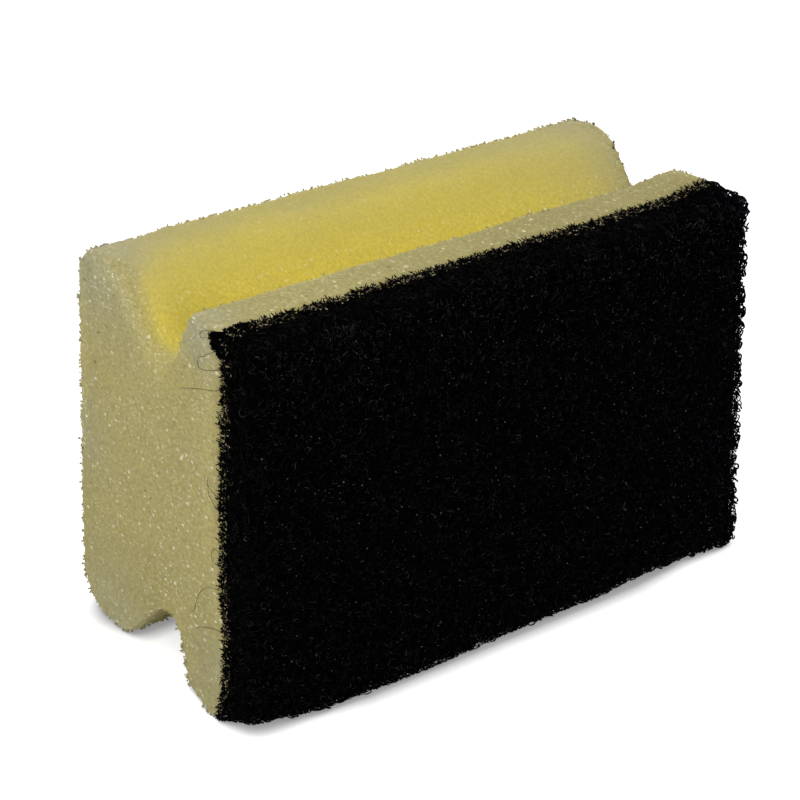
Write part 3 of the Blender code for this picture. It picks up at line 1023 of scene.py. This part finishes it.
def loose_fibres(name, rng, paths, radius, facing, spread, material, shade=1.0, growth=1.0):
    """One piece of fibres with random radii that taper at both ends, and random shades.

    Most are nearly black, some greyer and a few pale. facing is the way that the surface under them
    looks, and radius the least and greatest in millimetres.
    """
    count, steps = paths.shape[:2]
    from_end = np.minimum(np.arange(steps), np.arange(steps)[::-1])
    thin, thick = radius
    radii = rng.uniform(thin * MM, thick * MM, (count, 1)) * np.minimum(1.0, 0.45 + 0.4 * from_end) * growth
    across = unit(facing + rng.normal(0.0, spread, (count, 3)))
    kind = rng.random(count)
    shades = np.where(kind < DARK_SHARE, rng.uniform(*DARK_SHADES, count), rng.uniform(*GREY_SHADES, count))
    shades = np.where(kind > 1.0 - PALE_SHARE, rng.uniform(*PALE_SHADES, count), shades)
    add_fibres(name, paths, radii, across, material, shades * shade)


def open_share(x):
    """How open the felt is, from 0 along most of the pad to 1 at its right end."""
    return smooth_step(LENGTH / 2.0 - OPEN_FROM, LENGTH / 2.0 - OPEN_FULL, x)


def build_felt(material):
    """The dense felt inside the pad, a little inside the loose fibres, closed on all sides."""
    ring = PAD_OUTLINE - PAD_OUTWARD * (FELT_INSET + FELT_OPENING * open_share(PAD_OUTLINE[:, :1]))
    back, front = PAD_HIGH[1], PAD_LOW[1] + FELT_INSET
    rows = int(round((back - front - PAD_FRONT_RIM) / PAD_GRID)) + 1
    places = [(y, 0.0, math.pi / 2.0) for y in np.linspace(back, front + PAD_FRONT_RIM, rows)]
    rim = quarter_round(PAD_FRONT_RIM, PAD_RIM_STEPS)
    places += [(front + back_off, inset, angle) for inset, back_off, angle in rim[-2::-1]]
    stations = [(y, PAD_MIDDLE + (ring - PAD_MIDDLE) * (1.0 - inset / PAD_HALF), angle)
                for y, inset, angle in places]
    points, normals, faces = closed_skin(stations, PAD_OUTWARD, 1, PAD_GRID, 31)
    rng = np.random.default_rng(41)
    length, seed, height = FELT_WAVE
    relief = rng.uniform(-FELT_RELIEF, FELT_RELIEF, len(points)) + waves(points, length, seed) * height
    relief = np.where(points[:, 1] > PAD_HIGH[1] - 0.01 * MM, 0.0, relief)
    soak = smooth_step(*FELT_SOAK, PAD_HIGH[1] - points[:, 1])
    shaped = lean(points + normals * relief[:, None])
    felt = new_piece("pad_felt", shaped, faces, material, {"soak": soak})
    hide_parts("scouring_pad")


def build_face_fibres(material):
    """The felt's loose fibres on the scrubbing face, short and tightly curled, paler near the top with
    painted light.
    """
    pieces, count, steps, step, heights, radius = FACE_FIBRES
    half, top = LENGTH / 2.0 - FACE_EDGE, HEIGHT - FACE_EDGE
    top_light, reach = TOP_LIGHT_PAINT
    for number in range(pieces):
        rng = np.random.default_rng(100 + number)
        along, across, over = curls(rng, count, steps, step, heights)
        x = np.clip(rng.uniform(-half, half, (count, 1)) + along, -half, half)
        z = np.clip(rng.uniform(FACE_EDGE, top, (count, 1)) + across, FACE_EDGE, top)
        # Painted light: fibres near the top are paler, as the rim catches more light
        shade = 1.0 + top_light * np.exp(-(HEIGHT - z.mean(axis=1)) / reach)
        front = np.array([0.0, -1.0, 0.0])
        name = f"face_fibres_{number + 1}"
        loose_fibres(name, rng, face_place(x, z, over), radius, front, 0.1, material, shade)


def build_side_fibres(material):
    """Fibres that stand out of the pad's cut sides in curls."""
    pieces, count, steps, step, heights, radius = SIDE_FIBRES
    for number in range(pieces):
        rng = np.random.default_rng(200 + number)
        along, across, over = curls(rng, count, steps, step, heights)
        start = rng.uniform(0.0, len(PAD_OUTLINE), count)
        y = rng.uniform(PAD_LOW[1] + 0.4 * MM, PAD_HIGH[1] - 1.4 * MM, (count, 1)) + across
        y = np.clip(y, PAD_LOW[1] + 0.1 * MM, PAD_HIGH[1] - 0.2 * MM)
        reach = rng.uniform(0.5, 1.3, (count, 1)) ** 2
        sunk = SIDE_SUNK * open_share(PAD_OUTLINE[outline_index(start), :1])
        paths = side_place(start, along, y, over * reach - sunk)
        loose_fibres(f"side_fibres_{number + 1}", rng, paths, radius, side_facing(start), 0.15, material)


def build_edge_loops(material):
    """Thick fibres that loop and hook out of the pad's rim, most of all at its right end."""
    count, steps, step, heights, radius = EDGE_LOOPS
    rng = np.random.default_rng(450)
    spread = rng.uniform(0.0, len(PAD_OUTLINE), 8 * count)
    x, z = PAD_OUTLINE[outline_index(spread)].T
    weight = LOOPS_ANYWHERE + LOOPS_AT_RIGHT * open_share(x) + LOOPS_AT_FOOT * (z < 5.0 * MM)
    start = rng.choice(spread, count, replace=False, p=weight / weight.sum())
    right = open_share(PAD_OUTLINE[outline_index(start), :1])
    top = (1.0 + LOOPS_TALLER * right) * rng.uniform(*heights, (count, 1)) * MM
    heading = rng.uniform(0.0, 2.0 * math.pi, (count, 1))
    bend = rng.uniform(*LOOP_BEND, (count, 1)) * rng.choice([-1.0, 1.0], (count, 1))
    wander = np.cumsum(rng.normal(0.0, LOOP_WANDER, (count, steps)), axis=1)
    heading = heading + bend * np.arange(steps) + wander
    along, across = followed(heading, step)
    y = rng.uniform(PAD_LOW[1] + 0.8 * MM, PAD_HIGH[1] - 0.8 * MM, (count, 1)) + across
    y = np.clip(y, PAD_LOW[1] + 0.2 * MM, PAD_HIGH[1])
    arch = math.pi * np.linspace(0.0, 1.0, steps) * rng.uniform(0.7, 1.0, (count, 1))
    paths = side_place(start, along, y, top * np.sin(arch) - 0.1 * MM)
    growth = 1.0 + LOOPS_THICKER * right
    loose_fibres("edge_loops", rng, paths, radius, side_facing(start), 0.25, material, growth=growth)


def build_fringe(material, soaked_material):
    """Short stiff fibre ends that reach from the pad's rear edge over the bond and the foam.

    Some of them are pale, where the bond has soaked them.
    """
    rng = np.random.default_rng(400)
    steps = FRINGE_STEPS
    kinds = (("fringe_fibres", FRINGE, material), ("soaked_fibres", SOAKED_FRINGE, soaked_material))
    for name, (count, deep, radius), look in kinds:
        middle = rng.uniform(0.0, len(PAD_OUTLINE), FRINGE_TUFTS)
        strength = rng.uniform(0.4, 1.2, FRINGE_TUFTS)
        which = rng.integers(0, FRINGE_TUFTS, count)
        start = middle[which] + rng.normal(0.0, FRINGE_TUFT_WIDTH / PAD_GRID, count)
        heading = bent(rng, rng.normal(math.pi / 2.0, FRINGE_SPREAD, (count, 1)), steps, *FRINGE_BEND)
        length = (rng.uniform(0.5, 1.2, count) * strength[which])[:, None]
        along, across = followed(heading, FRINGE_STEP * length)
        y = PAD_HIGH[1] - rng.triangular(0.0, 0.3 * deep, deep, (count, 1)) + across
        over = rng.uniform(-0.1, 1.0, (count, 1)) * FRINGE_HEIGHT * np.linspace(0.0, 1.0, steps) + 0.10 * MM
        y = np.minimum(y, PAD_HIGH[1] + FRINGE_REACH)
        paths = side_place(start, along, y, over)
        loose_fibres(name, rng, paths, radius, side_facing(start), 0.1, look, 0.5)


def build_corner_tuft(material):
    """The loose tuft at the pad's upper left corner, folded back over the foam's cut end."""
    count, steps, step, radius = CORNER_TUFT
    rng = np.random.default_rng(480)
    heading = bent(rng, rng.uniform(0.0, 2.0 * math.pi, (count, 1)), steps, *TUFT_BEND)
    along, across = followed(heading, step * rng.uniform(0.4, 1.1, (count, 1)))
    down = rng.uniform(0.0, 1.0, (count, 1)) ** 1.2
    reach = np.interp(down, *TUFT_OUTLINE) * MM
    back = reach * rng.uniform(0.0, 1.0, (count, 1)) - 1.8 * MM * rng.uniform(0.0, 1.0, (count, 1)) ** 3
    y = PAD_HIGH[1] + back + along
    fall = down * TUFT_FALL - across
    top = HEIGHT + 0.2 * MM - TUFT_SLOPE * np.maximum(y - PAD_HIGH[1], 0.0)
    arch = np.sin(math.pi * np.linspace(0.0, 1.0, steps)) ** 0.5
    off = 0.10 * MM + rng.uniform(0.05, 0.50, (count, 1)) * MM * arch
    ashore = rng.uniform(0.0, 1.0, (count, 1))
    on_top = rng.random((count, 1)) < TUFT_ON_TOP
    top_y = PAD_HIGH[1] + (0.2 + 0.8 * ashore) * MM + np.minimum(along, 0.5 * MM)
    x = np.where(on_top, FOAM_LOW[0] + 4.0 * MM * ashore + fall * 0.2, FOAM_LOW[0] - off)
    z = np.where(on_top, HEIGHT - 0.35 * MM + off, top - np.abs(fall))
    paths = np.stack([x, np.where(on_top, top_y, y), z], axis=-1)
    loose_fibres("corner_tuft", rng, paths, radius, np.array([-1.0, 0.0, 1.0]), 0.1, material, 0.0)


def build_strays(material):
    """Single long fibres that have strayed onto the foam's cut end."""
    paths = []
    fine = np.linspace(0.0, 1.0, STRAY_STEPS)
    for stray in STRAYS:
        knots = np.array(stray) * MM
        along = np.linspace(0.0, 1.0, len(knots))
        curve = np.stack([np.interp(fine, along, knots[:, axis]) for axis in (0, 1)], axis=-1)
        curve[1:-1] = (curve[:-2] + 2.0 * curve[1:-1] + curve[2:]) / 4.0
        lift = 0.25 * MM + 0.30 * MM * np.sin(math.pi * fine)
        paths.append(np.column_stack([FOAM_LOW[0] - lift, curve]))
    radii = np.full((len(paths), STRAY_STEPS), STRAY_RADIUS)
    across = unit(np.tile([1.0, 0.05, 0.08], (len(paths), 1)))
    add_fibres("stray_fibres", np.array(paths), radii, across, material, np.zeros(len(paths)))


def build_grit(material):
    """Grains of cured resin caught among the fibres of the scrubbing face, whose paler grey is partly a
    painted glint.
    """
    rng = np.random.default_rng(500)
    count = GRAINS
    template = bmesh.new()
    bmesh.ops.create_icosphere(template, subdivisions=1, radius=1.0)
    shape = np.array([vertex.co for vertex in template.verts])
    faces = np.array([[vertex.index for vertex in face.verts] for face in template.faces])
    template.free()
    half = LENGTH / 2.0 - 1.0 * MM
    x = rng.uniform(-half, half, count)
    z = rng.uniform(1.0 * MM, HEIGHT - 1.0 * MM, count)
    middle = face_place(x, z, rng.uniform(0.05, 0.40, count) * MM)
    size = GRAIN_RADIUS + GRAIN_GROWTH * rng.random((count, 1, 1)) ** 2.5
    size = size * rng.uniform(0.6, 1.4, (count, 1, 3))
    grains = middle[:, None, :] + shape * size * rng.uniform(0.8, 1.2, (count, len(shape), 1))
    every = (faces + np.arange(count)[:, None, None] * len(shape)).reshape(-1, 3)
    grit = new_piece("resin_grit", lean(grains.reshape(-1, 3)), [every], material)
    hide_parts("scouring_pad")


def build_film(material):
    """The bonding film, with an uneven edge where it was rolled out."""
    rng = np.random.default_rng(51)
    ragged = rng.uniform(0.0, FILM_RAGGED, (len(PAD_OUTLINE), 1))
    reach = np.array([FILM_HIGH[0], (FILM_HIGH[2] - FILM_LOW[2]) / 2.0])
    ring = PAD_MIDDLE + (PAD_OUTLINE - PAD_MIDDLE) * (reach - ragged) / PAD_HALF
    stations = [(y, ring, math.pi / 2.0) for y in (FILM_LOW[1], FILM_HIGH[1])]
    points, normals, faces = closed_skin(stations, PAD_OUTWARD, 1, FILM_GRID, 52)
    points = points - normals * rng.uniform(0.0, FILM_RELIEF, (len(points), 1))
    film = new_piece("bond_film", lean(points), faces, material)
    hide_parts("adhesive_layer")


def build_stage():
    """A white floor that fades out of sight but keeps the object's shadow."""
    mesh = bpy.data.meshes.new("studio_floor")
    corners = [(x * FLOOR_HALF, y * FLOOR_HALF, 0.0) for x, y in ((-1, -1), (1, -1), (1, 1), (-1, 1))]
    mesh.from_pydata(corners, [], [(0, 1, 2, 3)])
    material, tree, shader, place = new_material("studio_white", 1.0, 0.0)
    reach = {"Distance": CONTACT_REACH}
    contact = add_node(tree, "ShaderNodeAmbientOcclusion", reach, samples=CONTACT_SAMPLES)
    spot = add_node(tree, "ShaderNodeSeparateXYZ", {"Vector": place})
    from_middle = maths(tree, "ABSOLUTE", spot.outputs["X"], 0.0)
    raised = map_range(tree, from_middle, *CONTACT_END, 0.0, CONTACT_END_LIFT)
    in_front = map_range(tree, spot.outputs["Y"], *CONTACT_FRONT, 1.0, 0.0)
    lift = maths(tree, "ADD", maths(tree, "MULTIPLY", raised, in_front), CONTACT_LIFT)
    shade = map_range(tree, maths(tree, "ADD", contact.outputs["AO"], lift), *CONTACT_TONES)
    tree.links.new(colour_mix(tree, shade, FLOOR_DARK, FLOOR_WHITE), shader.inputs["Base Color"])
    seen = add_node(tree, "ShaderNodeLightPath").outputs["Is Camera Ray"]
    shader.inputs["Emission Color"].default_value = (1.0, 1.0, 1.0, 1.0)
    glow = maths(tree, "MULTIPLY", maths(tree, "MULTIPLY", seen, shade), FLOOR_LIFT)
    tree.links.new(glow, shader.inputs["Emission Strength"])
    mesh.materials.append(material)
    floor = add_object("studio_floor", mesh)


def build_light():
    """Even white surroundings and one broad soft lamp overhead."""
    world = bpy.data.worlds.new("studio")
    world.use_nodes = True
    tree = world.node_tree
    background = tree.nodes["Background"]
    background.inputs["Color"].default_value = (1.0, 1.0, 1.0, 1.0)
    path = add_node(tree, "ShaderNodeLightPath")
    direct = maths(tree, "MAXIMUM", path.outputs["Is Camera Ray"], path.outputs["Is Glossy Ray"])
    tree.links.new(map_range(tree, direct, 0.0, 1.0, WORLD_STRENGTH, 1.0), background.inputs["Strength"])
    bpy.context.scene.world = world
    lamp = bpy.data.lights.new("top_softbox", "AREA")
    lamp.shape = "RECTANGLE"
    lamp.size, lamp.size_y = LAMP_SIZE
    lamp.energy = LAMP_POWER
    holder = add_object("top_softbox", lamp)
    holder.location = LAMP_PLACE
    toward = Vector((0.0, 0.0, HEIGHT / 2.0)) - holder.location
    holder.rotation_euler = toward.to_track_quat("-Z", "Y").to_euler()


def build_camera():
    """The camera at the photograph's place and angle."""
    data = bpy.data.cameras.new("photo_camera")
    data.lens = CAMERA_LENS
    data.sensor_width = SENSOR_WIDTH
    data.clip_start, data.clip_end = CLIP_RANGE
    camera = add_object("photo_camera", data)
    turns = ((-CAMERA_YAW, "Z"), (math.pi / 2.0 - CAMERA_PITCH, "X"), (CAMERA_ROLL, "Z"))
    first, second, third = (Matrix.Rotation(angle, 4, axis) for angle, axis in turns)
    camera.matrix_world = Matrix.Translation(CAMERA_PLACE) @ first @ second @ third
    bpy.context.scene.camera = camera


def main():
    bpy.context.scene.view_settings.view_transform = "Standard"
    build_camera()
    build_light()
    build_stage()
    build_foam(foam_material("open_cell_foam", FOAM_SCATTER), foam_material("torn_foam_cells", 0.0))
    build_film(clouded_material("dried_adhesive"))
    build_felt(felt_material())
    fibre = fibre_material()
    build_face_fibres(fibre)
    build_side_fibres(fibre)
    build_edge_loops(fibre)
    build_fringe(fibre, clouded_material("soaked_fibre"))
    build_corner_tuft(fibre)
    build_strays(fibre)
    build_grit(clouded_material("resin_grit"))


main()
